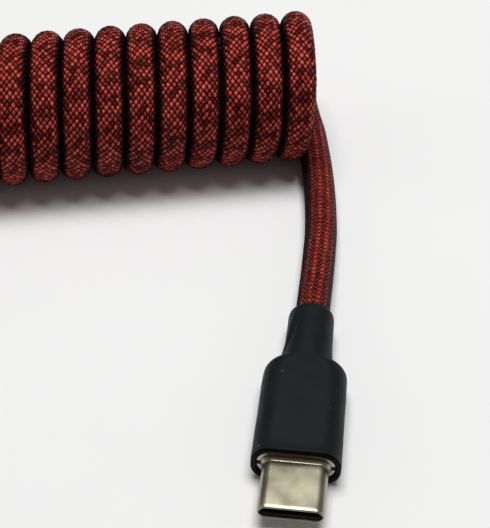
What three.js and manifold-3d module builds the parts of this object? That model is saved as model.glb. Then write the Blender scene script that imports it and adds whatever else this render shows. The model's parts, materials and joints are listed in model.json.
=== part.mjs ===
// A coiled, sleeved charging cable that lies on a table. Millimetres, +Z up.
// The origin is under the device plug's sleeve, on the table. That plug points along -Y.
// Its short lead runs back to the coil, which lies across the table behind it. At the coil's far end
// a second lead turns round to the host plug, which lies close behind the coil.
import * as THREE from 'three';
import { mergeVertices } from 'three/addons/utils/BufferGeometryUtils.js';
import Module from 'manifold-3d';

const wasm = await Module();
wasm.setup();

// Cord and coil.
const CORD_DIAMETER = 4.6;
const COIL_RADIUS = 8.9; // of the cord's centreline
const COIL_PITCH = 4.65; // turn to turn, closed up
const COIL_TURNS = 25;
const COIL_END = new THREE.Vector3(-3.5, 55.1, 0); // where the cord leaves the coil, on the table
const COIL_HEADING = THREE.MathUtils.degToRad(14.2); // of the coil's axis, from +X towards +Y
const CORD_GAP = 0.6; // between the coil's solid and a lead beside it
const CORD_SIDES = 10;
const COIL_SIDES = 48;
const COIL_BORE_SHARE = 0.6; // the hollow through the coil, as a share of its outside

// Clearances and walls that both plugs share.
const FIT = 0.05; // between pieces made to seat in each other
const SPLIT = 0.4; // the slit between the two housing halves
const HOUSING_WALL = 0.6;
const HOUSING_END_WALL = 0.8;
const HOUSING_RECESS = 0.3; // of the housing's face, behind the sleeve's rim
const FERRULE_WALL = 0.26;
const FERRULE_LENGTH = 5.4;
const CORD_FIT = 0.12; // round the cord, in the ferrule and at the sleeve's end
const WIRE_DIAMETER = 0.8;
const WIRE_RING = 0.95; // radius of the ring that the four wires close into at the cord
const CORD_LAP = 1.7; // of the cord's end inside the ferrule
const FERRULE_SETBACK = 0.4; // behind the sleeve's shoulder
const WIRE_STRAIGHT = 2.3; // over the pads, before a wire turns in
const WIRE_SIDES = 8;
const WIRE_STEPS = 10;
const SHRINK_WALL = 0.3;
const SHRINK_WALL_AT_CORD = 0.25;
const SHRINK_FIT = 0.08; // over the housing
const RIM_INSET = 0.1; // of the sleeve's inside edge, behind its rim
const RIM_ROUND = { across: 0.35, along: 0.5 };
const SHOULDER_DROP = 0.8; // share of its height that the sleeve loses before the neck
const LEAD_STEPS = 24;
const OVERCUT = 1; // how far a cutting shape runs past a face
const CURVE_STEPS = 8;
const LATHE_SIDES = 40;

// Device plug: reversible, with an oval shell. Starts and ends are measured back from its mouth, here
// and in the other lists.
const DEVICE = {
  shellWidth: 8.25,
  shellHeight: 2.4,
  shellCorner: 1.2,
  shellWall: 0.25,
  shellLength: 12.4,
  exposed: 7.05, // of the shell, in front of the sleeve's rim
  housingBeside: 0.75, // how far the housing stands out past the shell at each side
  housingAbove: 1.2, // and above and below it
  housingLength: 14.15,
  sleeveAbove: 0.7, // how far the sleeve stands out past the housing above and below
  sleeveBesideFront: 0.725, // and at each side, at its rim
  sleeveBesideRear: 0.425, // and at its shoulder
  shoulder: 2.6,
  neckLength: 7.3,
  endTaper: 0.9,
};
const BOARD = { inset: 0.725, thickness: 0.6, gap: 0.2, clearBehind: 2.7, padPitch: 1.35, padLap: 2 };
const CARRIER = { slotInset: 0.625, slotHeight: 1.0, start: 0.4, end: 10.2 };
const CONTACT = { width: 0.25, thickness: 0.12, pitch: 0.5, start: 1.1, boardLap: 1.2 };
const MIDDLE_PLACE = 5.5;
const UPPER_PLACES = [0, 3, 4, 5, 6, 8, 11]; // of the twelve places in a row
const LOWER_PLACES = [0, 3, 8, 11];
const LATCH = {
  thickness: 0.08, height: 0.5, inset: 0.1, hook: 0.3, bend: 4.2, grip: 3.0, tip: 1.6, flare: 0.1,
};

// Host plug: flat, with a rectangular shell.
const HOST = {
  shellWidth: 12.0,
  shellHeight: 4.5,
  shellCorner: 0.5,
  shellWall: 0.3,
  shellLength: 17.5,
  exposed: 12.0,
  housingBeside: 1.5,
  housingAbove: 1.15,
  housingLength: 15.5,
  sleeveAbove: 0.6,
  sleeveBesideFront: 0.7,
  sleeveBesideRear: 0.4,
  shoulder: 3.6,
  neckLength: 7.6,
  endTaper: 2.4,
};
const HOST_TONGUE = { thickness: 1.9, start: 0.8, end: 9.6, blockEnd: 14.0 };
const HOST_CONTACT = { width: 1.0, thickness: 0.15, start: 1.6, innerSetback: 1.0, tail: 1.6, wireGap: 0.4 };
const HOST_CONTACT_X = [-3.5, -1.0, 1.0, 3.5];
const WINDOW = { size: 2.2, x: 2.6, start: 4.2 };

// Route of the device lead, from the coil's end to inside the plug's ferrule.
const DEVICE_LEAD = [
  [-3.5, 55.1, 2.3], [-2.7, 51.5, 2.3], [-2.0, 48.0, 2.3], [-1.4, 44.5, 2.3],
  [-0.9, 41.0, 2.3], [-0.5, 37.7, 2.3], [-0.2, 34.5, 2.33], [0.0, 31.5, 2.4],
  [0.05, 28.5, 2.5], [0.1, 25.5, 2.63], [0.1, 22.5, 2.78], [0.08, 19.5, 2.92],
  [0.04, 16.5, 3.03], [0.0, 13.0, 3.1], [0.0, 8.9, 3.1],
];
// Route of the host lead from the coil's other end, which is its origin, to inside its ferrule. Its
// X runs along the coil.
const HOST_LEAD = [
  [0.0, 0.0, 2.3], [-0.2, 2.5, 2.3], [-0.1, 5.2, 2.3], [0.25, 7.8, 2.3], [0.95, 10.5, 2.3],
  [2.15, 13.0, 2.33], [3.75, 15.3, 2.45], [5.75, 17.3, 2.7], [8.05, 18.9, 3.05], [10.55, 20.0, 3.45],
  [13.25, 20.7, 3.8], [16.05, 20.95, 3.96], [18.85, 21.0, 4.0], [22.25, 21.0, 4.0], [27.25, 21.0, 4.0],
];

const cable = new THREE.Group();
const coilFrame = new THREE.Group();
coilFrame.position.copy(COIL_END);
coilFrame.rotation.z = COIL_HEADING;
cable.add(coilFrame);
const coilFarEnd = new THREE.Group();
coilFarEnd.position.set(-COIL_TURNS * COIL_PITCH, 0, 0);
coilFrame.add(coilFarEnd);

const FINISHES = {
  nickel: { color: 0x8f8b7e, roughness: 0.35, metalness: 1 },
  housingMetal: { color: 0xb4b0a8, roughness: 0.45, metalness: 1 },
  brass: { color: 0xb08a3c, roughness: 0.3, metalness: 1 },
  gold: { color: 0xd0a850, roughness: 0.25, metalness: 1 },
  springSteel: { color: 0x9a9c9e, roughness: 0.35, metalness: 1 },
  blackPlastic: { color: 0x101214, roughness: 0.55, metalness: 0 },
  whitePlastic: { color: 0xd8d8d4, roughness: 0.5, metalness: 0 },
  board: { color: 0x1d5136, roughness: 0.5, metalness: 0 },
  shrink: { color: 0x23282a, roughness: 0.5, metalness: 0 },
  braid: { color: 0x7c1518, roughness: 0.6, metalness: 0 },
  redWire: { color: 0xa81f1c, roughness: 0.5, metalness: 0 },
  blackWire: { color: 0x161616, roughness: 0.5, metalness: 0 },
  greenWire: { color: 0x1f7a3a, roughness: 0.5, metalness: 0 },
  whiteWire: { color: 0xdedede, roughness: 0.5, metalness: 0 },
};
const WIRES = [
  ['wire_ground', 'blackWire'],
  ['wire_data_minus', 'whiteWire'],
  ['wire_data_plus', 'greenWire'],
  ['wire_power', 'redWire'],
];

function addPiece(group, name, geometry, finish) {
  const mesh = new THREE.Mesh(geometry, new THREE.MeshStandardMaterial(FINISHES[finish]));
  mesh.name = name;
  group.add(mesh);
}

// A rectangle with round corners, centred on the axis.
function roundedRectangle(width, height, corner, Kind = THREE.Shape) {
  const x = width / 2 - corner;
  const y = height / 2 - corner;
  const quarter = Math.PI / 2;
  const outline = new Kind();
  outline.absarc(x, y, corner, 0, quarter);
  outline.absarc(-x, y, corner, quarter, 2 * quarter);
  outline.absarc(-x, -y, corner, 2 * quarter, 3 * quarter);
  outline.absarc(x, -y, corner, 3 * quarter, 4 * quarter);
  outline.closePath();
  return outline;
}

// A shape drawn across the plug, X by Z, and drawn out along Y.
function alongPlug(shape, start, end) {
  const options = { depth: end - start, bevelEnabled: false, curveSegments: CURVE_STEPS };
  return new THREE.ExtrudeGeometry(shape, options).rotateX(Math.PI / 2).translate(0, end, 0);
}

function box(low, high) {
  const size = high.map((value, i) => value - low[i]);
  const middle = high.map((value, i) => (value + low[i]) / 2);
  return new THREE.BoxGeometry(...size).translate(...middle);
}

function solid(geometry) {
  const bare = geometry.clone();
  bare.deleteAttribute('normal');
  bare.deleteAttribute('uv');
  const merged = mergeVertices(bare, 1e-4);
  const vertProperties = new Float32Array(merged.attributes.position.array);
  const triVerts = new Uint32Array(merged.index.array);
  return new wasm.Manifold(new wasm.Mesh({ numProp: 3, vertProperties, triVerts }));
}

function geometryOf(made) {
  const mesh = made.getMesh();
  const geometry = new THREE.BufferGeometry();
  geometry.setAttribute('position', new THREE.BufferAttribute(mesh.vertProperties, 3));
  geometry.setIndex(new THREE.BufferAttribute(mesh.triVerts, 1));
  return geometry;
}

// A round rod along a smooth curve through its points.
function rod(points, diameter, sides, steps) {
  const section = new THREE.Shape();
  for (let i = 0; i < sides; i += 1) {
    const angle = (2 * Math.PI * i) / sides;
    const place = [(diameter / 2) * Math.cos(angle), (diameter / 2) * Math.sin(angle)];
    if (i === 0) section.moveTo(...place);
    else section.lineTo(...place);
  }
  section.closePath();
  const curve = new THREE.CatmullRomCurve3(points.map((point) => new THREE.Vector3(...point)));
  return new THREE.ExtrudeGeometry(section, { steps, extrudePath: curve, bevelEnabled: false });
}

// A ring turned about Y, from its inner and outer radius at each length.
function ring(inner, outer, start, end, sides) {
  const profile = [[inner, start], [outer, start], [outer, end], [inner, end], [inner, start]];
  return new THREE.LatheGeometry(profile.map((point) => new THREE.Vector2(...point)), sides);
}

// The sizes of the pieces behind a plug's shell and where they start and end, which follow from the
// plug's own list.
function measure(plug) {
  const housingWidth = plug.shellWidth + 2 * plug.housingBeside;
  const housingHeight = plug.shellHeight + 2 * plug.housingAbove;
  const housingStart = plug.exposed + HOUSING_RECESS;
  const housingEnd = housingStart + plug.housingLength;
  const neckStart = housingEnd + plug.shoulder;
  const taperStart = neckStart + plug.neckLength;
  const ferruleStart = neckStart + FERRULE_SETBACK;
  return {
    housingWidth,
    housingHeight,
    sleeveHeight: housingHeight + 2 * plug.sleeveAbove,
    sleeveFrontWidth: housingWidth + 2 * plug.sleeveBesideFront,
    sleeveRearWidth: housingWidth + 2 * plug.sleeveBesideRear,
    housingStart,
    housingEnd,
    neckStart,
    taperStart,
    ferruleStart,
    ferruleEnd: ferruleStart + FERRULE_LENGTH,
    sleeveEnd: taperStart + plug.endTaper,
  };
}

// The drawn shell: an open tube whose rounded mouth takes the socket's tongue.
function shellGeometry(plug) {
  const wall = plug.shellWall;
  const outline = roundedRectangle(plug.shellWidth, plug.shellHeight, plug.shellCorner);
  const bore = roundedRectangle(
    plug.shellWidth - 2 * wall, plug.shellHeight - 2 * wall, plug.shellCorner - wall, THREE.Path,
  );
  outline.holes.push(bore);
  return alongPlug(outline, 0, plug.shellLength);
}

// One half of the stamped housing: an oval trough with a front wall round the shell and a rear wall
// round the wires. side is 1 for the upper half and -1 for the lower.
function housingGeometry(plug, side) {
  const at = measure(plug);
  const { shellWidth, shellHeight, shellCorner } = plug;
  const { housingWidth: width, housingHeight: height } = at;
  const outer = solid(
    alongPlug(roundedRectangle(width, height, height / 2), at.housingStart, at.housingEnd),
  );
  const insideHeight = height - 2 * HOUSING_WALL;
  const inside = roundedRectangle(width - 2 * HOUSING_WALL, insideHeight, insideHeight / 2);
  const room = solid(
    alongPlug(inside, at.housingStart + HOUSING_END_WALL, at.housingEnd - HOUSING_END_WALL),
  );
  const doorway = roundedRectangle(shellWidth + 2 * FIT, shellHeight + 2 * FIT, shellCorner + FIT);
  const front = solid(alongPlug(doorway, at.housingStart - OVERCUT, plug.shellLength + FIT));
  const wireWay = 2 * (WIRE_RING + WIRE_DIAMETER / 2 + CORD_FIT);
  const rearOutline = roundedRectangle(2 * wireWay, wireWay, wireWay / 2);
  const rear = solid(
    alongPlug(rearOutline, at.housingEnd - HOUSING_END_WALL - OVERCUT, at.housingEnd + OVERCUT),
  );
  const low = [-width, 0, side > 0 ? SPLIT / 2 : -height];
  const high = [width, 2 * at.housingEnd, side > 0 ? height : -SPLIT / 2];
  return geometryOf(
    outer.subtract(room).subtract(front).subtract(rear).intersect(solid(box(low, high))),
  );
}

// Four wires fan in from the solder pads at starts to the ring where they enter the cord.
function addWires(group, plug, prefix, starts, from) {
  const at = measure(plug);
  const drop = WIRE_RING / Math.SQRT2;
  const ends = [[-drop, -drop], [-drop, drop], [drop, drop], [drop, -drop]];
  const closeIn = at.housingEnd - HOUSING_END_WALL - CORD_FIT;
  WIRES.forEach(([name, finish], i) => {
    const [x, z] = starts[i];
    const [endX, endZ] = ends[i];
    const route = [
      [x, from, z], [x, from + WIRE_STRAIGHT, z], [endX, closeIn, endZ], [endX, at.ferruleStart, endZ],
    ];
    addPiece(group, prefix + name, rod(route, WIRE_DIAMETER, WIRE_SIDES, WIRE_STEPS), finish);
  });
}

// The crimped ring that holds the cord's end, inside the sleeve's neck.
function ferruleGeometry(plug) {
  const at = measure(plug);
  const inner = CORD_DIAMETER / 2 + CORD_FIT;
  return ring(inner, inner + FERRULE_WALL, at.ferruleStart, at.ferruleEnd, LATHE_SIDES);
}

// The heat-shrink sleeve: turned round its axis, then pressed out sideways where it grips the housing.
// Each point of its profile has a radius, a place along the plug and how far it is pressed out. The
// lathe's corners stand half a facet off the axes, so the pressed body has a flat top and underside.
function sleeveGeometry(plug) {
  const at = measure(plug);
  const body = at.sleeveHeight / 2;
  const front = (at.sleeveFrontWidth - at.sleeveHeight) / 2;
  const rear = (at.sleeveRearWidth - at.sleeveHeight) / 2;
  const gripRadius = at.housingHeight / 2 + SHRINK_FIT;
  const grip = (at.housingWidth - at.housingHeight) / 2 + FIT;
  const overCord = CORD_DIAMETER / 2 + CORD_FIT;
  const overFerrule = overCord + FERRULE_WALL + FIT;
  const tail = overFerrule + SHRINK_WALL;
  const shoulder = (share) => [
    THREE.MathUtils.lerp(body, tail, SHOULDER_DROP * share),
    THREE.MathUtils.lerp(at.housingEnd, at.neckStart, share),
    rear * (1 - THREE.MathUtils.smoothstep(share, 0, 1)),
  ];
  const profile = [
    [gripRadius, plug.exposed + RIM_INSET, grip],
    [gripRadius + SHRINK_WALL, plug.exposed, front],
    [body - RIM_ROUND.across, plug.exposed, front],
    [body, plug.exposed + RIM_ROUND.along, front],
    shoulder(0),
    shoulder(0.25),
    shoulder(0.5),
    shoulder(0.75),
    shoulder(1),
    [tail, at.taperStart, 0],
    [THREE.MathUtils.lerp(tail, overCord, 0.25), at.taperStart + plug.endTaper / 2, 0],
    [overCord + SHRINK_WALL_AT_CORD, at.sleeveEnd, 0],
    [overCord, at.sleeveEnd, 0],
    [overCord, at.ferruleEnd + CORD_FIT + FERRULE_WALL, 0],
    [overFerrule, at.ferruleEnd + CORD_FIT, 0],
    [overFerrule, at.neckStart, 0],
    [gripRadius, at.housingEnd + SHRINK_FIT, grip],
    [gripRadius, plug.exposed + RIM_INSET, grip],
  ];
  const halfFacet = Math.PI / LATHE_SIDES;
  const points = profile.map(
    ([radius, along]) => new THREE.Vector2(radius / Math.cos(halfFacet), along),
  );
  const sleeve = new THREE.LatheGeometry(points, LATHE_SIDES, halfFacet);
  const place = sleeve.attributes.position;
  for (let i = 0; i < place.count; i += 1) {
    const x = place.getX(i);
    place.setX(i, x + profile[i % profile.length][2] * Math.sign(x));
  }
  return sleeve;
}

// What both plugs have behind their shells.
function addPlugBody(group, plug, prefix) {
  addPiece(group, `${prefix}housing_upper`, housingGeometry(plug, 1), 'housingMetal');
  addPiece(group, `${prefix}housing_lower`, housingGeometry(plug, -1), 'housingMetal');
  addPiece(group, `${prefix}crimp_ferrule`, ferruleGeometry(plug), 'brass');
  addPiece(group, `${prefix}heat_shrink_sleeve`, sleeveGeometry(plug), 'shrink');
}

// Device plug. The end of its cord places it, so that it lies on its sleeve.
const devicePlug = new THREE.Group();
const [deviceX, deviceY, deviceZ] = DEVICE_LEAD.at(-1);
devicePlug.position.set(deviceX, deviceY - measure(DEVICE).ferruleStart - CORD_LAP, deviceZ);
cable.add(devicePlug);
addPiece(devicePlug, 'plug_shell', shellGeometry(DEVICE), 'nickel');

// The moulded carrier lines the shell and leaves the slot that the socket's tongue enters.
const carrierOutline = roundedRectangle(
  DEVICE.shellWidth - 2 * (DEVICE.shellWall + FIT),
  DEVICE.shellHeight - 2 * (DEVICE.shellWall + FIT),
  DEVICE.shellCorner - DEVICE.shellWall - FIT,
);
const slotWidth = DEVICE.shellWidth - 2 * CARRIER.slotInset;
carrierOutline.holes.push(
  roundedRectangle(slotWidth, CARRIER.slotHeight, CARRIER.slotHeight / 4, THREE.Path),
);
addPiece(
  devicePlug, 'contact_carrier', alongPlug(carrierOutline, CARRIER.start, CARRIER.end), 'blackPlastic',
);

const boardStart = CARRIER.end + BOARD.gap;
const boardEnd = measure(DEVICE).housingEnd - HOUSING_END_WALL - BOARD.clearBehind;
const boardSide = DEVICE.shellWidth / 2 - BOARD.inset;

// Contacts lie on the slot's two faces and lap over the board, which is thinner than the slot.
function addContacts(places, side, name) {
  const far = CARRIER.slotHeight / 2 - FIT / 2;
  const near = far - CONTACT.thickness;
  places.forEach((place, i) => {
    const x = (place - MIDDLE_PLACE) * CONTACT.pitch;
    const low = [x - CONTACT.width / 2, CONTACT.start, side > 0 ? near : -far];
    const high = [x + CONTACT.width / 2, boardStart + CONTACT.boardLap, side > 0 ? far : -near];
    addPiece(devicePlug, `${name}_${i + 1}`, box(low, high), 'gold');
  });
}
addContacts(UPPER_PLACES, 1, 'upper_contact');
addContacts(LOWER_PLACES, -1, 'lower_contact');

// A latch arm runs along each side of the slot, with a hook near the mouth that grips the socket.
function latchGeometry(side) {
  const outside = slotWidth / 2 - LATCH.inset;
  const inside = outside - LATCH.hook;
  const tip = [outside - LATCH.flare, LATCH.tip];
  const bend = [[outside, CARRIER.end], [outside, LATCH.bend], [inside, LATCH.grip], tip];
  const outline = bend.map(([x, y]) => [side * x, y]);
  bend.reverse().forEach(([x, y]) => outline.push([side * (x + LATCH.thickness), y]));
  const shape = new THREE.Shape(outline.map((point) => new THREE.Vector2(...point)));
  const options = { depth: LATCH.height, bevelEnabled: false };
  return new THREE.ExtrudeGeometry(shape, options).translate(0, 0, -LATCH.height / 2);
}
addPiece(devicePlug, 'latch_arm_left', latchGeometry(-1), 'springSteel');
addPiece(devicePlug, 'latch_arm_right', latchGeometry(1), 'springSteel');

addPiece(
  devicePlug,
  'paddle_board',
  box([-boardSide, boardStart, -BOARD.thickness / 2], [boardSide, boardEnd, BOARD.thickness / 2]),
  'board',
);
const deviceWireZ = BOARD.thickness / 2 + FIT + WIRE_DIAMETER / 2;
const deviceWireStarts = [-1.5, -0.5, 0.5, 1.5].map((place) => [BOARD.padPitch * place, deviceWireZ]);
addWires(devicePlug, DEVICE, '', deviceWireStarts, boardEnd - BOARD.padLap);
addPlugBody(devicePlug, DEVICE, '');
addPiece(cable, 'device_lead', rod(DEVICE_LEAD, CORD_DIAMETER, CORD_SIDES, LEAD_STEPS), 'braid');

// The coil's outer form: one fat tube along its axis, clear of the leads at both its ends.
const coilOutside = COIL_RADIUS + CORD_DIAMETER / 2;
const coilClear = CORD_DIAMETER / 2 + CORD_GAP;
const coilLength = COIL_TURNS * COIL_PITCH - 2 * coilClear;
const coilGeometry = ring(COIL_BORE_SHARE * coilOutside, coilOutside, 0, coilLength, COIL_SIDES);
coilGeometry.rotateZ(Math.PI / 2).translate(-coilClear, 0, coilOutside);
addPiece(coilFrame, 'coil', coilGeometry, 'braid');
addPiece(coilFarEnd, 'host_lead', rod(HOST_LEAD, CORD_DIAMETER, CORD_SIDES, LEAD_STEPS), 'braid');

// Host plug. It lies behind the coil and points the way the coil runs, and its cord's end places it.
const hostPlug = new THREE.Group();
const [hostX, hostY, hostZ] = HOST_LEAD.at(-1);
hostPlug.position.set(hostX + measure(HOST).ferruleStart + CORD_LAP, hostY, hostZ);
hostPlug.rotation.z = Math.PI / 2;
coilFarEnd.add(hostPlug);

// Its shell has two windows above and two below, where the socket's springs catch.
let hostShell = solid(shellGeometry(HOST));
for (const x of [-WINDOW.x, WINDOW.x]) {
  for (const side of [-1, 1]) {
    const half = WINDOW.size / 2;
    const z = (side * HOST.shellHeight) / 2;
    const cut = box(
      [x - half, WINDOW.start, z - OVERCUT],
      [x + half, WINDOW.start + WINDOW.size, z + OVERCUT],
    );
    hostShell = hostShell.subtract(solid(cut));
  }
}
addPiece(hostPlug, 'host_shell', geometryOf(hostShell), 'nickel');

// The contact block: a tongue at the mouth and a block that fills the shell behind it, with a way
// through for each contact.
const hostInsideWidth = HOST.shellWidth - 2 * (HOST.shellWall + FIT);
const hostInsideHeight = HOST.shellHeight - 2 * (HOST.shellWall + FIT);
const tongueTop = -hostInsideHeight / 2 + HOST_TONGUE.thickness;
const tongue = box(
  [-hostInsideWidth / 2, HOST_TONGUE.start, -hostInsideHeight / 2],
  [hostInsideWidth / 2, HOST_TONGUE.end + OVERCUT, tongueTop],
);
const block = box(
  [-hostInsideWidth / 2, HOST_TONGUE.end, -hostInsideHeight / 2],
  [hostInsideWidth / 2, HOST_TONGUE.blockEnd, hostInsideHeight / 2],
);
let contactBlock = solid(tongue).add(solid(block));
const hostContactTop = tongueTop + FIT + HOST_CONTACT.thickness;
for (const x of HOST_CONTACT_X) {
  const half = HOST_CONTACT.width / 2 + FIT;
  const way = box(
    [x - half, HOST_TONGUE.end - OVERCUT, tongueTop],
    [x + half, HOST_TONGUE.blockEnd + OVERCUT, hostContactTop + FIT],
  );
  contactBlock = contactBlock.subtract(solid(way));
}
addPiece(hostPlug, 'host_contact_block', geometryOf(contactBlock), 'whitePlastic');
HOST_CONTACT_X.forEach((x, i) => {
  const inner = i === 1 || i === 2;
  const start = HOST_CONTACT.start + (inner ? HOST_CONTACT.innerSetback : 0);
  const low = [x - HOST_CONTACT.width / 2, start, tongueTop + FIT];
  const high = [x + HOST_CONTACT.width / 2, HOST_TONGUE.blockEnd + HOST_CONTACT.tail, hostContactTop];
  addPiece(hostPlug, `host_contact_${i + 1}`, box(low, high), 'gold');
});
const hostWireZ = hostContactTop + FIT + WIRE_DIAMETER / 2;
const hostWireStarts = HOST_CONTACT_X.map((x) => [x, hostWireZ]);
addWires(hostPlug, HOST, 'host_', hostWireStarts, HOST_TONGUE.blockEnd + HOST_CONTACT.wireGap);
addPlugBody(hostPlug, HOST, 'host_');

export default cable;
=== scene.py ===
"""A coiled, sleeved charging cable on a pale table. Metres, +Z up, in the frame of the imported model.

The origin is under the middle of the device plug, which points along -Y. A short lead runs back from it
to the coil, and a second lead turns round from the coil's far end to the host plug.
"""
import json
import math

import bmesh
import bpy
import numpy as np
from mathutils import Matrix, Vector


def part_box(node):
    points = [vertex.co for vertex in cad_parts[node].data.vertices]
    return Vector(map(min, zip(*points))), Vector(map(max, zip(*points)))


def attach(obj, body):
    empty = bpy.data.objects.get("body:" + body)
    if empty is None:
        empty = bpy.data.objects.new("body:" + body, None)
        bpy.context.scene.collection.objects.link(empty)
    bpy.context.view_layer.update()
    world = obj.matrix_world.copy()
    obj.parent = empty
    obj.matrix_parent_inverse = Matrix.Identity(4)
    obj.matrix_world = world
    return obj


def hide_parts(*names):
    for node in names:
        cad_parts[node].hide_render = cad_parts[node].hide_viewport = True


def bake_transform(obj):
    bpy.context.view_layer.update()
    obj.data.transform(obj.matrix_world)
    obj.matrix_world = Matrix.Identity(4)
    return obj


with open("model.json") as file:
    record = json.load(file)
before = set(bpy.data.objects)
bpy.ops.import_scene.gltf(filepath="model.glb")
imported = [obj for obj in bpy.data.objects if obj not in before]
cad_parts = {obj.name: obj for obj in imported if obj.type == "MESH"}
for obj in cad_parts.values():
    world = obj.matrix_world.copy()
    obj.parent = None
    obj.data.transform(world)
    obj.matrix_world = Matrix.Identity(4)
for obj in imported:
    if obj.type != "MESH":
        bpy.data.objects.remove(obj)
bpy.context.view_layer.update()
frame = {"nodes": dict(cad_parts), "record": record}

mm = 0.001

# Camera and light. A long lens looks down at the plug and the near end of the coil. A soft panel
# hangs over the coil, with weak ones at the sides, and the room is an even, dim and slightly warm grey.
scene = bpy.context.scene


def aim(thing, place, target):
    """Puts a camera or a light somewhere and points it."""
    thing.location = place
    thing.rotation_mode = "QUATERNION"
    thing.rotation_quaternion = (Vector(target) - Vector(place)).to_track_quat("-Z", "Y")
    scene.collection.objects.link(thing)


lens = bpy.data.cameras.new("camera")
lens.lens = 93.58
lens.sensor_width = 36
lens.clip_start = 0.005
camera = bpy.data.objects.new("camera", lens)
aim(camera, (0.0052, -0.1107, 0.1412), (-0.0105, 0.0269, 0))
scene.camera = camera
scene.view_settings.view_transform = "Standard"


def panel(name, place, target, size, power):
    """A soft rectangular light."""
    light = bpy.data.lights.new(name, "AREA")
    light.shape = "RECTANGLE"
    light.size, light.size_y = size
    light.energy = power
    aim(bpy.data.objects.new(name, light), place, target)


panel("top_panel", (0.0, 0.075, 0.6), (-0.02, 0.03, 0), (0.36, 0.24), 3.28)
panel("left_panel", (-0.5, 0.0, 0.22), (0, 0, 0.01), (0.2, 0.3), 0.15)
panel("right_panel", (0.5, 0.0, 0.2), (0, 0, 0.01), (0.2, 0.3), 0.15)

world = bpy.data.worlds.new("studio")
world.use_nodes = True
room = world.node_tree.nodes["Background"]
room.inputs["Color"].default_value = (1, 0.985, 0.96, 1)
room.inputs["Strength"].default_value = 0.13
scene.world = world


# Table top. A plain sheet of pale painted board, flat and large enough to fill the view. The cable
# lies loose on it, at height 0.
TABLE_REACH = 3


class Value:
    """A shader value or colour. Arithmetic on it adds Math nodes."""

    def __init__(self, finish, socket):
        self.finish = finish
        self.socket = socket

    def math(self, operation, *values):
        return self.finish.node("Math", {"operation": operation}, dict(enumerate(values)))

    def __add__(self, other):
        return self.math("ADD", self, other)

    def __radd__(self, other):
        return self.math("ADD", other, self)

    def __sub__(self, other):
        return self.math("SUBTRACT", self, other)

    def __rsub__(self, other):
        return self.math("SUBTRACT", other, self)

    def __mul__(self, other):
        return self.math("MULTIPLY", self, other)

    def __rmul__(self, other):
        return self.math("MULTIPLY", other, self)

    def __mod__(self, other):
        return self.math("FLOORED_MODULO", self, other)

    def whole(self):
        return self.math("FLOOR", self)

    def size(self):
        return self.math("ABSOLUTE", self)

    def wave(self):
        return self.math("SINE", self)

    def ramp(self, low, high, start=0.0, end=1.0):
        """Runs smoothly from start to end as the value goes from low to high."""
        limits = {"From Min": low, "From Max": high, "To Min": start, "To Max": end}
        settings = {"interpolation_type": "SMOOTHSTEP"}
        return self.finish.node("MapRange", settings, {"Value": self, **limits}, "Result")


class Finish:
    """A material, with one method that adds any node to it."""

    def __init__(self, name):
        self.material = bpy.data.materials.new(name)
        self.material.use_nodes = True
        self.tree = self.material.node_tree
        self.tree.nodes.clear()

    def node(self, kind, settings=None, inputs=None, output=0):
        made = self.tree.nodes.new("ShaderNode" + kind)
        for key, value in (settings or {}).items():
            setattr(made, key, value)
        for key, value in (inputs or {}).items():
            if isinstance(value, Value):
                self.tree.links.new(value.socket, made.inputs[key])
            else:
                made.inputs[key].default_value = value
        return Value(self, made.outputs[output])

    def mix(self, mask, without, within):
        """The colour without where the mask is 0 and within where it is 1."""
        colours = {6: without, 7: within}
        return self.node("Mix", {"data_type": "RGBA"}, {0: mask, **colours}, 2)

    def place(self):
        return self.node("TexCoord", output="Object")

    def parts(self, vector):
        """The X, Y and Z of a vector."""
        made = self.node("SeparateXYZ", inputs={"Vector": vector}).socket.node
        return [Value(self, made.outputs[axis]) for axis in "XYZ"]

    def noise(self, scale, detail=2.0, roughness=0.5, where=None):
        """Cloudy noise from 0 to 1. The scale is in features a metre."""
        inputs = {"Vector": where or self.place(), "Scale": scale, "Detail": detail, "Roughness": roughness}
        return self.node("TexNoise", inputs=inputs, output="Fac")

    def bump(self, height, distance):
        return self.node("Bump", inputs={"Height": height, "Distance": distance, "Strength": 1.0})

    def shader(self, **sockets):
        """Ends the material in one shader, with the sockets named in words joined by underscores."""
        named = {key.replace("_", " ").title().replace("Ior", "IOR"): value for key, value in sockets.items()}
        surface = self.node("BsdfPrincipled", inputs=named)
        end = self.tree.nodes.new("ShaderNodeOutputMaterial")
        self.tree.links.new(surface.socket, end.inputs["Surface"])
        return self.material


def link(name, mesh, material):
    """A new piece, at the origin, from a bmesh that it uses up."""
    data = bpy.data.meshes.new(name)
    mesh.to_mesh(data)
    mesh.free()
    data.shade_smooth()
    data.materials.append(material)
    piece = bpy.data.objects.new(name, data)
    scene.collection.objects.link(piece)
    return piece


board = Finish("table_board")
grain = board.noise(60, 3)
board_colour = board.mix(grain, (0.885, 0.885, 0.885, 1), (0.90, 0.90, 0.90, 1))
table_mesh = bmesh.new()
bmesh.ops.create_grid(table_mesh, x_segments=2, y_segments=2, size=TABLE_REACH)
table = link("table_top", table_mesh, board.shader(base_color=board_colour, roughness=0.9))

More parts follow.
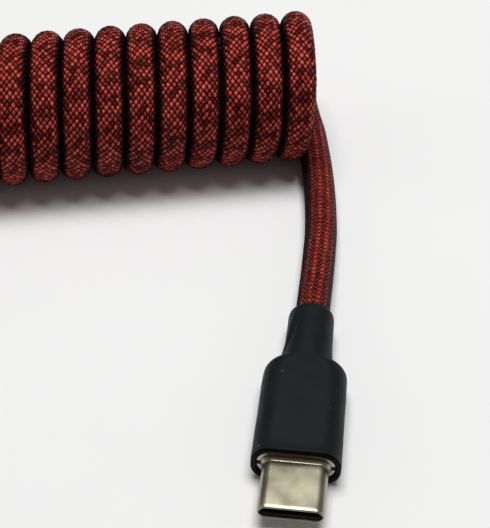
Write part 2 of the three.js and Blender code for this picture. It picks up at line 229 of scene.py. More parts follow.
# The cord's route. It leaves the device plug, lies down on the table, winds the coil left-handed
# from its near end to its far end, and turns back to the host plug. The coil stands on the table.
CORD_DIAMETER = 4.6 * mm
COIL_RADIUS = 8.9 * mm
COIL_PITCH = 4.65 * mm
COIL_TURNS = 25
COIL_END = Vector((-3.5, 55.1, 0)) * mm
COIL_HEADING = math.radians(14.2)
POINTS_A_TURN = 36
DEVICE_LEAD = [
    (-0.0035, 0.0551, 0.0023), (-0.0027, 0.0515, 0.0023), (-0.0020, 0.0480, 0.0023),
    (-0.0014, 0.0445, 0.0023), (-0.0009, 0.0410, 0.0023), (-0.0005, 0.0377, 0.0023),
    (-0.0002, 0.0345, 0.00233), (0.0, 0.0315, 0.0024), (0.00005, 0.0285, 0.0025),
    (0.0001, 0.0255, 0.00263), (0.0001, 0.0225, 0.00278), (0.00008, 0.0195, 0.00292),
    (0.00004, 0.0165, 0.00303), (0.0, 0.0130, 0.0031), (0.0, 0.0089, 0.0031),
]
HOST_LEAD = [  # from the coil's far end, with X along the coil
    (0.0, 0.0, 0.0023), (-0.0002, 0.0025, 0.0023), (-0.0001, 0.0052, 0.0023),
    (0.00025, 0.0078, 0.0023), (0.00095, 0.0105, 0.0023), (0.00215, 0.0130, 0.00233),
    (0.00375, 0.0153, 0.00245), (0.00575, 0.0173, 0.0027), (0.00805, 0.0189, 0.00305),
    (0.01055, 0.0200, 0.00345), (0.01325, 0.0207, 0.0038), (0.01605, 0.02095, 0.00396),
    (0.01885, 0.0210, 0.0040), (0.02225, 0.0210, 0.0040), (0.02725, 0.0210, 0.0040),
]
coil_frame = Matrix.Translation(COIL_END) @ Matrix.Rotation(COIL_HEADING, 4, "Z")
coil_far_end = coil_frame @ Matrix.Translation((-COIL_TURNS * COIL_PITCH, 0, 0))
axis_height = COIL_RADIUS + CORD_DIAMETER / 2


def on_coil(turn):
    """The cord's middle after that many turns, counted from the coil's near end."""
    angle = -2 * math.pi * turn
    across = -COIL_RADIUS * math.sin(angle)
    height = axis_height - COIL_RADIUS * math.cos(angle)
    return coil_frame @ Vector((-COIL_PITCH * turn, across, height))


coil_steps = COIL_TURNS * POINTS_A_TURN
route = [Vector(point) for point in reversed(DEVICE_LEAD)][:-1]
coil_starts_at = len(route)
route += [on_coil(step / POINTS_A_TURN) for step in range(coil_steps + 1)]
coil_ends_at = len(route) - 1
route += [coil_far_end @ Vector(point) for point in HOST_LEAD[1:]]


def through(points, steps):
    """A smooth curve through points, with that many samples from each point to the next."""
    points = np.array(points, float)
    before, after = points[:-1], points[1:]
    span = np.linalg.norm(after - before, axis=1)[:, None]
    slope = np.gradient(points, np.concatenate([[0], np.cumsum(span)]), axis=0)
    share = np.linspace(0, 1, steps, endpoint=False)[:, None, None]
    curve = (2 * share**3 - 3 * share**2 + 1) * before + (3 * share**2 - 2 * share**3) * after
    curve += (share**3 - 2 * share**2 + share) * span * slope[:-1]
    curve += (share**3 - share**2) * span * slope[1:]
    return np.concatenate([curve.transpose(1, 0, 2).reshape(-1, points.shape[1]), points[-1:]])


SAMPLES_A_SPAN = 6
curve = through(route, SAMPLES_A_SPAN)
along = np.concatenate([[0], np.cumsum(np.linalg.norm(np.diff(curve, axis=0), axis=1))])
cord_length = along[-1]
coil_start = along[coil_starts_at * SAMPLES_A_SPAN]
coil_stop = along[coil_ends_at * SAMPLES_A_SPAN]
heading = np.gradient(curve, along, axis=0)
heading /= np.linalg.norm(heading, axis=1)[:, None]

# The cord's own up: towards the axis on the coil, and straight up on the leads.
coil_axis = np.array(coil_frame.to_3x3() @ Vector((1, 0, 0)))
axis_point = np.array(coil_frame @ Vector((0, 0, axis_height)))
inward = axis_point - curve
inward -= np.outer(inward @ coil_axis, coil_axis)
on_the_coil = (along >= coil_start) & (along <= coil_stop)
up = np.where(on_the_coil[:, None], inward, (0, 0, 1.0))
up -= heading * (up * heading).sum(1)[:, None]
up /= np.linalg.norm(up, axis=1)[:, None]
side = np.cross(up, heading)


def wind(piece):
    """Bends a piece that was made straight along X onto the cord's route."""
    data = piece.data
    place = np.zeros(len(data.vertices) * 3)
    data.vertices.foreach_get("co", place)
    place = place.reshape(-1, 3)
    middle, upward, sideward = [
        np.stack([np.interp(place[:, 0], along, line[:, axis]) for axis in range(3)], 1)
        for line in (curve, up, side)
    ]
    place = middle + upward * place[:, 2:] + sideward * place[:, 1:2]
    data.vertices.foreach_set("co", place.ravel())
    data.update()


def stretch_with_coil(piece):
    """Bakes the piece's placement into its mesh and leaves the coil's turns as they are. A piece must still
    be straight along X when this is called."""
    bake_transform(piece)


# Jacket. Red metallic yarn, braided tightly over the conductors. It swells out between the strands of
# the net: as bright lozenges on the coil, with painted shade in the creases around them, and as rows of
# small beads on the straight leads, bright only along the top as painted light. Its sides are painted
# nearly black along the leads, and where one turn of the coil faces the next, as painted shade.
JACKET_RADIUS = 2.275 * mm
JACKET_SIDES = 32
JACKET_STEP = 1.25 * mm
STRIPS = 12  # the baked map lays the long tube out in strips, side by side
STRIP_MARGIN = 0.04  # free share of a strip's width at each side of it
STRIP_OVERRUN = 0.02  # and of its length at each end
NET_STRANDS = 16
COIL_LAY = 14.45 * mm
LEAD_LAY = 12.6 * mm
LEAD_FADE = 7 * mm
LEAD_SWELL = 0.05 * mm
BEAD_COLUMNS = 12
BEAD_PITCH = 0.78 * mm
COLUMN_TWIST = 0.018
HATCH_SLANT = 2.4
BEAD_SLANT = 1.6
GROOVE_SHADE_DARKNESS = 0.96
FLANK_DULLNESS = 0.3


def net_turn(distance):
    """How many times a strand of the net has gone round the cord at a distance along it."""
    on_leads = min(distance - coil_start, 0) + max(distance - coil_stop, 0)
    return distance / COIL_LAY + on_leads * (1 / LEAD_LAY - 1 / COIL_LAY)


def lead_share(distance):
    """1 on the leads and 0 on the coil."""
    past = max(coil_start - distance, distance - coil_stop)
    return min(1, max(0, past / LEAD_FADE + 1))


turn_length = (coil_stop - coil_start) / COIL_TURNS
middle_of_coil = np.argmin(np.abs(along - (coil_start + coil_stop) / 2))
device_side = 1 if side[middle_of_coil] @ coil_axis > 0 else -1


def facing_next_turn(distance, sideways):
    """1 where the cord's side squarely faces the next turn of the coil, and 0 on its top or where
    there is no next turn."""
    if sideways * device_side > 0:
        neighbour = (distance - coil_start) / turn_length
    else:
        neighbour = (coil_stop - distance) / turn_length
    return abs(sideways) * min(1, max(0, neighbour))


jacket_mesh = bmesh.new()
bmesh.ops.create_cone(
    jacket_mesh, cap_ends=True, segments=JACKET_SIDES, radius1=JACKET_RADIUS, radius2=JACKET_RADIUS,
    depth=cord_length,
)
long_edges = [
    edge for edge in jacket_mesh.edges if abs(edge.verts[0].co.z - edge.verts[1].co.z) > cord_length / 2
]
jacket_steps = round(cord_length / JACKET_STEP)
bmesh.ops.subdivide_edges(jacket_mesh, edges=long_edges, cuts=jacket_steps - 1, use_grid_fill=True)
along_x = Matrix.Translation((cord_length / 2, 0, 0)) @ Matrix.Rotation(math.radians(90), 4, "Y")
bmesh.ops.transform(jacket_mesh, matrix=along_x, verts=jacket_mesh.verts)
lead_layer = jacket_mesh.verts.layers.float.new("lead")
facing_layer = jacket_mesh.verts.layers.float.new("facing")
for vert in jacket_mesh.verts:
    share = lead_share(vert.co.x)
    vert[lead_layer] = share
    vert[facing_layer] = facing_next_turn(vert.co.x, vert.co.y / JACKET_RADIUS)
    vert.co.yz *= 1 + share * LEAD_SWELL / JACKET_RADIUS
weave_map = jacket_mesh.loops.layers.uv.new("weave")
baked_map = jacket_mesh.loops.layers.uv.new("OFBake")
for face in jacket_mesh.faces:
    middle = face.calc_center_median()
    middle_turn = math.atan2(middle.z, middle.y) / (2 * math.pi)
    strip = min(STRIPS - 1, math.floor(middle.x / cord_length * STRIPS))
    for corner in face.loops:
        x, y, z = corner.vert.co
        turn = math.atan2(z, y) / (2 * math.pi)
        turn += round(middle_turn - turn)
        corner[weave_map].uv = (turn, net_turn(x))
        across = STRIP_MARGIN + (1 - 2 * STRIP_MARGIN) * (turn + 0.5)
        down = (x / cord_length * STRIPS - strip + STRIP_OVERRUN) / (1 + 2 * STRIP_OVERRUN)
        corner[baked_map].uv = ((strip + across) / STRIPS, down)

yarn = Finish("red_braid")
jacket = link("cord_jacket", jacket_mesh, yarn.material)
stretch_with_coil(jacket)
wind(jacket)
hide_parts("coil", "device_lead", "host_lead")

around, turned, _ = yarn.parts(yarn.node("UVMap", {"uv_map": "weave"}))
leftward = ((around + turned) * NET_STRANDS) % NET_STRANDS
rightward = ((around - turned) * NET_STRANDS) % NET_STRANDS
lozenge = ((leftward * math.pi).wave() * (rightward * math.pi).wave()).size()
cell = yarn.node("CombineXYZ", inputs={"X": leftward.whole(), "Y": rightward.whole(), "Z": 0.0})
cell_tone = yarn.node("TexWhiteNoise", {"noise_dimensions": "3D"}, {"Vector": cell}, "Value")
fibre = yarn.noise(2300, 2)
patch = yarn.noise(330, 2)
glint = (cell_tone * 0.45 + fibre * 0.75 + patch * 0.4).ramp(0.52, 1.22)
coil_red = yarn.mix(glint, (0.085, 0.0015, 0.0015, 1), (0.95, 0.12, 0.075, 1))
# Near black along the net's strands around each lozenge: painted shade in the creases where the strands press
# into the jacket.
coil_red = yarn.mix(lozenge.ramp(0.1, 0.55), (0.006, 0.0005, 0.0005, 1), coil_red)
# The cord's sides that face the next turn of the coil are painted nearly black: painted shade in the grooves
# between turns. They are also made rougher.
painted_groove_shade = yarn.node("Attribute", {"attribute_name": "facing"}, output="Fac").ramp(0.6, 0.87)
coil_red = yarn.mix(painted_groove_shade * GROOVE_SHADE_DARKNESS, coil_red, (0.002, 0.0006, 0.0006, 1))

column = (around - turned * COLUMN_TWIST) * BEAD_COLUMNS
off_column = (column - column.whole() - 0.5).size()
stitch = turned * (LEAD_LAY / BEAD_PITCH)
hatch = ((stitch + off_column * HATCH_SLANT) * math.pi).wave().size()
# On the leads only the bead columns along the top are bright, as painted light from above, and the columns
# further round are painted near black, as painted shade.
from_top = ((column + BEAD_COLUMNS / 4) % BEAD_COLUMNS - BEAD_COLUMNS / 2).size()
painted_lit_columns = from_top.ramp(0.8, 2.0, 1.0, 0.0)
bead = ((stitch + off_column * BEAD_SLANT) * math.pi).wave().size().ramp(0.25, 0.8)
bead = bead * off_column.ramp(0.29, 0.12)
bead_glint = (fibre * 0.8 + patch * 0.6).ramp(0.45, 1.0)
bead_red = yarn.mix(bead_glint, (0.30, 0.006, 0.005, 1), (0.92, 0.085, 0.050, 1))
thread = yarn.mix(fibre.ramp(0.3, 0.7), (0.045, 0.009, 0.007, 1), (0.200, 0.044, 0.034, 1))
lead_red = yarn.mix(hatch.ramp(0.45, 0.8), (0.002, 0.001, 0.001, 1), thread)
# Painted shade: the lead darkens to near black away from its top.
lead_red = yarn.mix(from_top.ramp(1.0, 2.4, 0.0, 0.92), lead_red, (0.003, 0.0025, 0.003, 1))
lead_red = yarn.mix(bead * painted_lit_columns, lead_red, bead_red)
on_lead = yarn.node("Attribute", {"attribute_name": "lead"}, output="Fac")
relief = lozenge + on_lead * (hatch * 0.4 + bead * 0.6 - lozenge)
yarn.shader(
    base_color=yarn.mix(on_lead, coil_red, lead_red),
    metallic=0.08,
    roughness=glint.ramp(0, 1, 0.5, 0.34) + on_lead * 0.12 + painted_groove_shade * FLANK_DULLNESS,
    specular_ior_level=0.1,
    normal=yarn.bump(relief + fibre * 0.25, 0.2 * mm),
)

# Net. Black monofilaments wound both ways over the jacket, fixed only under the two sleeves. They
# wander a little and sink into the jacket here and there, so its lozenges differ. On the straight
# leads they are pulled tight and lie between the jacket's yarns.
STRAND_DIAMETER = 0.22 * mm
NET_RADIUS = 2.25 * mm
NET_LAYER = 0.02 * mm  # the left-hand strands lie this far outside NET_RADIUS, the others inside
LEAD_SINK = 0.12 * mm
NET_STEP = 0.75 * mm
WANDER = 0.07 * mm
LONG_WANDER, SHORT_WANDER = 3.1 * mm, 1.3 * mm
SINK = 0.06 * mm
LONG_SINK, SHORT_SINK = 2.3 * mm, 0.9 * mm

filament = Finish("black_monofilament")
filament_tone = filament.noise(400, 2)
filament.shader(
    base_color=filament.mix(filament_tone, (0.0012, 0.0008, 0.0008, 1), (0.006, 0.004, 0.004, 1)),
    roughness=filament_tone.ramp(0.3, 0.7, 0.3, 0.46),
    specular_ior_level=0.08,
)


def lay_net(piece, hand):
    """Turns each strand of a straight net as the real one is turned, and lets it wander and sink."""
    count = len(piece.data.vertices)
    place = np.zeros(count * 3)
    piece.data.vertices.foreach_get("co", place)
    x, y, z = place.reshape(-1, 3).T
    strand = np.arange(count) * NET_STRANDS // count
    drift = np.sin(x / LONG_WANDER + strand * 2.4) + np.sin(x / SHORT_WANDER + strand * 4.1 + hand)
    dip = np.sin(x / LONG_SINK + strand * 1.7 - hand) * np.sin(x / SHORT_SINK + strand * 3.3)
    extra = np.array([net_turn(distance) - distance / COIL_LAY for distance in x])
    angle = hand * 2 * math.pi * extra + drift * WANDER / NET_RADIUS / 2
    shares = np.array([lead_share(distance) for distance in x])
    grown = 1 - (SINK * (0.5 + 0.5 * dip) + LEAD_SINK * shares) / NET_RADIUS
    turned_y = (y * np.cos(angle) - z * np.sin(angle)) * grown
    turned_z = (y * np.sin(angle) + z * np.cos(angle)) * grown
    piece.data.vertices.foreach_set("co", np.stack([x, turned_y, turned_z], 1).ravel())


for name, hand in (("net_left", 1), ("net_right", -1)):
    strand_mesh = bmesh.new()
    section = bmesh.ops.create_circle(strand_mesh, segments=3, radius=STRAND_DIAMETER / 2)["verts"]
    at_radius = Matrix.Translation((0, 0, NET_RADIUS + hand * NET_LAYER))
    start = at_radius @ Matrix.Rotation(math.radians(90), 4, "Y")
    bmesh.ops.transform(strand_mesh, matrix=start, verts=section)
    steps = round(cord_length / NET_STEP)
    bmesh.ops.spin(
        strand_mesh, geom=strand_mesh.verts[:] + strand_mesh.edges[:], axis=(1, 0, 0), cent=(0, 0, 0),
        dvec=(cord_length / steps, 0, 0), angle=hand * 2 * math.pi * cord_length / COIL_LAY, steps=steps,
    )
    bmesh.ops.holes_fill(strand_mesh, edges=strand_mesh.edges, sides=3)
    bmesh.ops.recalc_face_normals(strand_mesh, faces=strand_mesh.faces)
    first = strand_mesh.verts[:] + strand_mesh.edges[:] + strand_mesh.faces[:]
    for strand in range(1, NET_STRANDS):
        copied = bmesh.ops.duplicate(strand_mesh, geom=first)["geom"]
        spaced = Matrix.Rotation(2 * math.pi * strand / NET_STRANDS, 4, "X")
        copied_verts = [item for item in copied if isinstance(item, bmesh.types.BMVert)]
        bmesh.ops.transform(strand_mesh, matrix=spaced, verts=copied_verts)
    piece = link(name, strand_mesh, filament.material)
    lay_net(piece, hand)
    stretch_with_coil(piece)
    wind(piece)

# Heat-shrink sleeves. Each is a black polyolefin tube, slipped over the plug's housing and the cord's
# end and shrunk with hot air. It grips the housing, draws in at a shoulder and closes on the cord.
DEVICE_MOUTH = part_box("plug_shell")[0].y
DEVICE_AXIS = Vector((0, DEVICE_MOUTH, DEVICE_LEAD[-1][2]))
device_frame = Matrix.Translation(DEVICE_AXIS)
host_mouth = frame["record"]["mounts"][2]["pos_m"]
HOST_RIM_ABOVE_AXIS = 2.1 * mm
host_axis = Vector(host_mouth) - Vector((0, 0, HOST_RIM_ABOVE_AXIS))
host_frame = Matrix.Translation(host_axis) @ Matrix.Rotation(COIL_HEADING + math.radians(90), 4, "Z")
PROFILE_STEPS = 3
MERGED_WITHIN = 0.0001 * mm


def rounded_place(share, half_width, half_height, corner):
    """A point on a rectangle with round corners, at that share of the way round it."""
    upright, level, bend = half_height - corner, half_width - corner, corner * math.pi / 2
    quarter = upright + level + bend
    turn = (share % 1) * 4
    mirrored = int(turn) % 2
    reached = (1 - turn % 1 if mirrored else turn % 1) * quarter
    if reached < upright:
        x, z = half_width, reached
    elif reached < upright + bend:
        angle = (reached - upright) / corner
        x, z = level + corner * math.cos(angle), upright + corner * math.sin(angle)
    else:
        x, z = quarter - reached, half_height
    return (x if int(turn) in (0, 3) else -x), (z if int(turn) < 2 else -z)


def drawn_tube(rings, sides, moved=None):
    """A closed skin through rings across a plug. A ring is its distance behind the mouth, half width,
    half height and corner radius, in millimetres, and the last ring lies on the first."""
    mesh = bmesh.new()
    last = len(rings) - 1
    bmesh.ops.create_cone(mesh, cap_ends=False, segments=sides, radius1=1, radius2=1, depth=last)
    rising = [edge for edge in mesh.edges if abs(edge.verts[0].co.z - edge.verts[1].co.z) > last / 2]
    bmesh.ops.subdivide_edges(mesh, edges=rising, cuts=last - 1, use_grid_fill=True)
    for vert in mesh.verts:
        behind, half_width, half_height, corner = rings[round(vert.co.z + last / 2)]
        share = math.atan2(vert.co.y, vert.co.x) / (2 * math.pi)
        x, z = rounded_place(share, half_width, half_height, min(corner, half_width, half_height))
        if moved:
            x, behind, z = moved(x, behind, z)
        vert.co = Vector((x, behind, z)) * mm
    bmesh.ops.remove_doubles(mesh, verts=mesh.verts, dist=MERGED_WITHIN)
    bmesh.ops.recalc_face_normals(mesh, faces=mesh.faces)
    return mesh


def put(mesh, place):
    """Moves a mesh that was made at a plug's mouth to where the plug lies."""
    bmesh.ops.transform(mesh, matrix=place, verts=mesh.verts)
    return mesh


shrink = Finish("heat_shrink")
haze = shrink.noise(220, 3)
peel = shrink.noise(2600, 2)
dust = shrink.noise(1900, 0).ramp(0.893, 0.90)
shrink_colour = shrink.mix(haze, (0.0062, 0.0084, 0.0096, 1), (0.0092, 0.0120, 0.0136, 1))
shrink_colour = shrink.mix(dust, shrink_colour, (0.16, 0.16, 0.15, 1))
# The rim of each sleeve at its plug end is painted near black and made metallic, so it gives back almost no
# light: painted shade on the rim's forward face.
painted_rim_shade = shrink.node("Attribute", {"attribute_name": "painted_rim_shade"}, output="Fac")
shrink.shader(
    base_color=shrink.mix(painted_rim_shade, shrink_colour, (0.0016, 0.0017, 0.0018, 1)),
    metallic=painted_rim_shade * 0.9,
    roughness=haze.ramp(0.3, 0.7, 0.46, 0.58),
    specular_ior_level=0.12,
    normal=shrink.bump(peel + haze * 3, 0.02 * mm),
)

SLEEVE_SIDES = 96
DEVICE_SLEEVE = [
    (31.2, 2.36, 2.36, 3), (32.25, 2.36, 2.36, 3), (32.32, 2.48, 2.48, 3), (32.24, 2.78, 2.78, 3),
    (32.0, 2.99, 2.95, 3), (31.6, 3.08, 3.01, 3), (30.8, 3.11, 3.02, 3), (29.0, 3.13, 3.04, 3),
    (27.0, 3.17, 3.05, 3), (26.0, 3.2, 3.05, 3), (25.0, 3.3, 3.06, 3), (24.3, 3.4, 3.06, 3),
    (23.85, 3.5, 3.07, 3), (23.4, 3.6, 3.08, 2.95), (23.1, 3.85, 3.08, 2.9), (22.85, 4.3, 3.09, 2.85),
    (22.55, 4.78, 3.09, 2.8), (22.15, 5.12, 3.1, 2.8), (21.7, 5.33, 3.1, 2.75), (21.1, 5.45, 3.1, 2.7),
    (20.0, 5.5, 3.1, 2.7), (16.5, 5.53, 3.1, 2.7), (13.0, 5.57, 3.1, 2.7), (9.5, 5.61, 3.1, 2.75),
    (7.9, 5.63, 3.14, 2.8), (7.35, 5.63, 3.22, 2.8), (7.15, 5.61, 3.22, 2.8), (7.06, 5.53, 3.15, 2.75),
    (7.05, 5.28, 2.9, 2.6), (7.05, 5.08, 2.62, 2.4), (7.1, 4.96, 2.5, 2.3), (7.4, 4.92, 2.46, 2.25),
    (8.0, 4.9, 2.44, 2.2), (9.0, 4.9, 2.44, 2.2), (20.0, 4.9, 2.44, 2.2), (20.8, 4.9, 2.44, 2.2),
    (21.5, 4.7, 2.5, 2.3), (22.3, 3.8, 2.68, 2.6), (23.0, 2.95, 2.73, 2.7), (23.8, 2.73, 2.73, 2.7),
    (29.2, 2.73, 2.73, 2.7), (30.0, 2.71, 2.71, 2.7), (30.6, 2.45, 2.45, 2.4), (31.2, 2.36, 2.36, 3),
]
HOST_SLEEVE = [
    (40.6, 2.36, 2.36, 3), (41.33, 2.36, 2.36, 3), (41.4, 2.48, 2.48, 3), (41.26, 2.72, 2.72, 3),
    (40.8, 2.92, 2.9, 3), (40.0, 3.02, 3.0, 3), (38.0, 3.1, 3.05, 3), (35.5, 3.2, 3.1, 3),
    (33.2, 3.45, 3.2, 3.1), (31.9, 3.9, 3.4, 3.2), (30.7, 5.0, 3.66, 3.2), (29.6, 6.3, 3.86, 3.0),
    (28.5, 7.3, 3.97, 2.8), (27.2, 7.8, 4.0, 2.7), (25.0, 7.93, 4.0, 2.6), (20.0, 8.02, 4.0, 2.6),
    (15.0, 8.14, 4.0, 2.6), (13.0, 8.2, 4.0, 2.6), (12.3, 8.2, 4.0, 2.6), (12.08, 8.14, 3.96, 2.6),
    (12.0, 8.0, 3.82, 2.5), (12.0, 7.8, 3.6, 2.4), (12.05, 7.68, 3.49, 2.3), (12.3, 7.62, 3.46, 2.2),
    (13.0, 7.6, 3.45, 2.2), (14.0, 7.6, 3.45, 2.2), (26.5, 7.6, 3.45, 2.2), (27.3, 7.55, 3.44, 2.2),
    (28.6, 6.6, 3.3, 2.6), (30.2, 4.3, 3.0, 2.7), (31.4, 3.0, 2.9, 2.7), (32.4, 2.73, 2.73, 2.7),
    (38.2, 2.73, 2.73, 2.7), (38.9, 2.7, 2.7, 2.7), (39.6, 2.45, 2.45, 2.4), (40.6, 2.36, 2.36, 3),
]

# The painted shade on the sleeve's rim, the waves and the fold, in millimetres and radians as the rings are.
RIM_SHADE_DEPTH = 0.12
RIM_SHADE_FADE = 0.1
WAVE_HEIGHT = 0.02
FOLD_MIDDLE = 27.5
FOLD_HALF_LENGTH = 3.6
FOLD_ANGLE = 2.55
FOLD_SLANT = 0.094
FOLD_ANGLE_AT = 26.5
FOLD_ACROSS = 0.15
RIDGE_HEIGHT = 0.13
VALLEY_DEPTH = 0.17


def shrunk(x, behind, z):
    """Small waves where the hot air reached the tube unevenly, and a fold down the neck's left side."""
    outside = max(abs(x) / 5.5, abs(z) / 3.0) > 0.9 or math.hypot(x, z) > 2.8
    if not outside:
        return x, behind, z
    wave = WAVE_HEIGHT * math.sin(behind * 1.3 + x * 0.7) * math.sin(behind * 0.45 - z)
    from_fold = math.atan2(z, x) - (FOLD_ANGLE - FOLD_SLANT * (behind - FOLD_ANGLE_AT))
    near = math.exp(-(((behind - FOLD_MIDDLE) / FOLD_HALF_LENGTH) ** 4))
    ridge = RIDGE_HEIGHT * math.exp(-(((from_fold - FOLD_ACROSS) / FOLD_ACROSS) ** 2))
    valley = VALLEY_DEPTH * math.exp(-(((from_fold + 0.5 * FOLD_ACROSS) / FOLD_ACROSS) ** 2))
    grown = 1 + (wave + near * (ridge - valley)) / max(math.hypot(x, z), 1)
    return x * grown, behind, z * grown


for name, node, body, rings, place in (
    ("device_shrink_sleeve", "heat_shrink_sleeve", "device_end", DEVICE_SLEEVE, device_frame),
    ("host_shrink_sleeve", "host_heat_shrink_sleeve", "coil", HOST_SLEEVE, host_frame),
):
    sleeve_mesh = drawn_tube(through(rings, PROFILE_STEPS), SLEEVE_SIDES, shrunk)
    # Mask for the painted shade: 1 on the rim and just behind it, fading to 0 further back.
    rim_shade_layer = sleeve_mesh.verts.layers.float.new("painted_rim_shade")
    rim = min(behind for behind, *_ in rings)
    for vert in sleeve_mesh.verts:
        past_edge = vert.co.y / mm - rim - RIM_SHADE_DEPTH
        vert[rim_shade_layer] = 1 - min(1, max(0, past_edge / RIM_SHADE_FADE))
    put(sleeve_mesh, place)
    sleeve = link(name, sleeve_mesh, shrink.material)
    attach(sleeve, body)
    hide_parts(node)

# Device shell. An oval tube of nickel-plated steel, deep-drawn in one piece, with its mouth rolled to
# a round lip. A pressed collar holds it where it comes out of the housing.
nickel = Finish("satin_nickel")
smudge = nickel.noise(260, 4, 0.6)
drawn_out = nickel.node("Mapping", inputs={"Vector": nickel.place(), "Scale": (5200, 160, 5200)})
draw_lines = nickel.noise(1.0, 3, where=drawn_out)
nickel_colour = nickel.mix(smudge.ramp(0.3, 0.7), (0.38, 0.355, 0.25, 1), (0.45, 0.42, 0.305, 1))
nickel.shader(
    base_color=nickel_colour,
    metallic=1.0,
    roughness=smudge.ramp(0.25, 0.75, 0.27, 0.40),
    normal=nickel.bump(draw_lines, 0.006 * mm),
)

DEVICE_SHELL = [
    (12.4, 3.9, 0.95, 0.95), (12.4, 4.125, 1.2, 1.2), (6.0, 4.125, 1.2, 1.2), (0.6, 4.125, 1.2, 1.2),
    (0.34, 4.12, 1.195, 1.195), (0.15, 4.08, 1.155, 1.155), (0.03, 4.01, 1.085, 1.085),
    (0.0, 3.95, 1.025, 1.025), (0.03, 3.89, 0.965, 0.965), (0.15, 3.85, 0.925, 0.925),
    (0.4, 3.85, 0.925, 0.925), (0.8, 3.875, 0.95, 0.95), (6.0, 3.875, 0.95, 0.95),
    (12.4, 3.875, 0.95, 0.95), (12.4, 3.9, 0.95, 0.95),
]
SHELL_SIDES = 96
shell_mesh = put(drawn_tube(DEVICE_SHELL, SHELL_SIDES), device_frame)
device_shell = link("device_plug_shell", shell_mesh, nickel.material)
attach(device_shell, "device_end")
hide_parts("plug_shell")

COLLAR = [
    (7.45, 4.14, 1.215, 1.2), (6.75, 4.12, 1.195, 1.2), (6.9, 4.15, 1.225, 1.2), (7.02, 4.2, 1.275, 1.22),
    (7.12, 4.29, 1.365, 1.25), (7.2, 4.38, 1.455, 1.3), (7.45, 4.42, 1.495, 1.3), (7.45, 4.14, 1.215, 1.2),
]
collar = link("shell_collar", put(drawn_tube(COLLAR, SHELL_SIDES), device_frame), nickel.material)
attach(collar, "device_end")

# Metal that the frame keeps: the host shell, folded from plated strip with its four windows, the
# stamped housing halves under both sleeves, the crimp ferrules and the sprung latch arms.
stamped = Finish("stamped_metal")
stain = stamped.noise(420, 3)
# The middle of each housing face is painted reddish brown: painted shade with a painted reddish-brown
# reflection. The plain plated grey returns towards the sides.
outside_painted_shade = stamped.parts(stamped.place())[0].size().ramp(3.4 * mm, 4.3 * mm)
stamped_colour = stamped.mix(stain.ramp(0.3, 0.75), (0.38, 0.36, 0.35, 1), (0.60, 0.58, 0.56, 1))
stamped_colour = stamped.mix(outside_painted_shade, (0.30, 0.19, 0.165, 1), stamped_colour)
stamped.shader(
    base_color=stamped_colour,
    metallic=1.0,
    roughness=stain.ramp(0.3, 0.7, 0.22, 0.36),
    normal=stamped.bump(stamped.noise(2400, 2), 0.012 * mm),
)
brass = Finish("crimped_brass")
tarnish = brass.noise(500, 3)
brass.shader(
    base_color=brass.mix(tarnish, (0.52, 0.36, 0.13, 1), (0.72, 0.53, 0.22, 1)),
    metallic=1.0,
    roughness=tarnish.ramp(0.3, 0.7, 0.28, 0.42),
)
spring = Finish("spring_strip")
rolled = spring.noise(900, 2)
spring.shader(
    base_color=spring.mix(rolled, (0.50, 0.51, 0.52, 1), (0.64, 0.65, 0.66, 1)),
    metallic=1.0,
    roughness=rolled.ramp(0.3, 0.7, 0.26, 0.38),
)
gold = Finish("gold_plate")
wear = gold.noise(700, 3)
gold.shader(
    base_color=gold.mix(wear, (0.70, 0.46, 0.15, 1), (0.86, 0.62, 0.25, 1)),
    metallic=1.0,
    roughness=wear.ramp(0.3, 0.7, 0.2, 0.34),
)

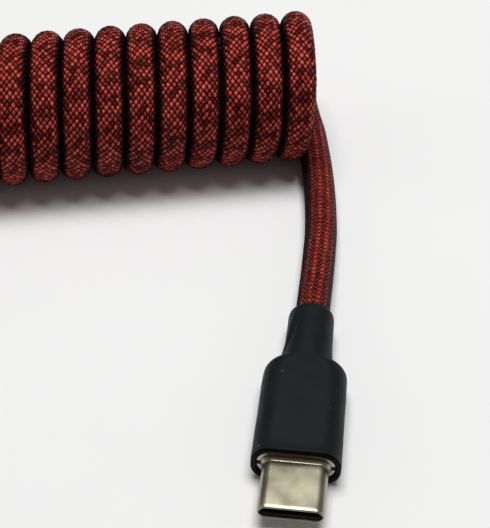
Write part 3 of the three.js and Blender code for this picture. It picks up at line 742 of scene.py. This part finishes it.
# Mouldings, board and wires. The carrier is black and the host's contact block white. The board has
# a green mask, and four wires with coloured insulation run from each plug into the cord.
MOULDINGS = {
    "black_moulding": ((0.003, 0.003, 0.003, 1), (0.007, 0.007, 0.007, 1), 0.8),
    "white_moulding": ((0.62, 0.62, 0.60, 1), (0.74, 0.74, 0.72, 1), 0.42),
    "green_mask": ((0.010, 0.085, 0.040, 1), (0.020, 0.140, 0.070, 1), 0.38),
    "red_insulation": ((0.36, 0.014, 0.010, 1), (0.48, 0.028, 0.020, 1), 0.45),
    "black_insulation": ((0.008, 0.008, 0.008, 1), (0.016, 0.016, 0.016, 1), 0.45),
    "green_insulation": ((0.012, 0.19, 0.045, 1), (0.025, 0.29, 0.080, 1), 0.45),
    "white_insulation": ((0.66, 0.66, 0.64, 1), (0.78, 0.78, 0.77, 1), 0.45),
}
plastic = {}
for name, (low, high, roughness) in MOULDINGS.items():
    moulding = Finish(name)
    cloud = moulding.noise(500, 3)
    plastic[name] = moulding.shader(
        base_color=moulding.mix(cloud, low, high),
        roughness=cloud.ramp(0.3, 0.7, roughness - 0.06, roughness + 0.08),
        normal=moulding.bump(moulding.noise(5000, 1), 0.008 * mm),
    )

# Carrier tabs. At each side of the housing's mouth, a black tab of the contact carrier fills the slot
# between the two stamped halves.
TAB = Vector((0.85, 0.5, 0.75)) * mm
TAB_BESIDE = 4.44 * mm
TAB_BEHIND = 7.56 * mm
TAB_ROUND = 0.05 * mm
tab_mesh = bmesh.new()
for side_sign in (-1, 1):
    tab_place = Matrix.Translation((side_sign * TAB_BESIDE, DEVICE_MOUTH + TAB_BEHIND, DEVICE_AXIS.z))
    bmesh.ops.create_cube(tab_mesh, size=1, matrix=tab_place @ Matrix.Diagonal(TAB).to_4x4())
bmesh.ops.bevel(
    tab_mesh, geom=tab_mesh.edges[:], affect="EDGES", offset=TAB_ROUND, segments=2, profile=0.5, material=-1
)
tabs = link("carrier_tabs", tab_mesh, plastic["black_moulding"])
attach(tabs, "device_end")

# Kept parts. What the frame holds inside both plugs stays as it is, and takes its finish by its name.
# The parts that new pieces stand for are hidden, and the finish that they get here isn't seen.
KEPT = {
    "host_shell": nickel.material, "housing": stamped.material, "ferrule": brass.material,
    "latch": spring.material, "carrier": plastic["black_moulding"], "block": plastic["white_moulding"],
    "board": plastic["green_mask"], "wire_power": plastic["red_insulation"],
    "wire_ground": plastic["black_insulation"], "wire_data_plus": plastic["green_insulation"],
    "wire_data_minus": plastic["white_insulation"], "contact_": gold.material,
}
for name, node in frame["nodes"].items():
    node.data.materials.clear()
    fitting = next((finish for word, finish in KEPT.items() if word in name), yarn.material)
    node.data.materials.append(fitting)
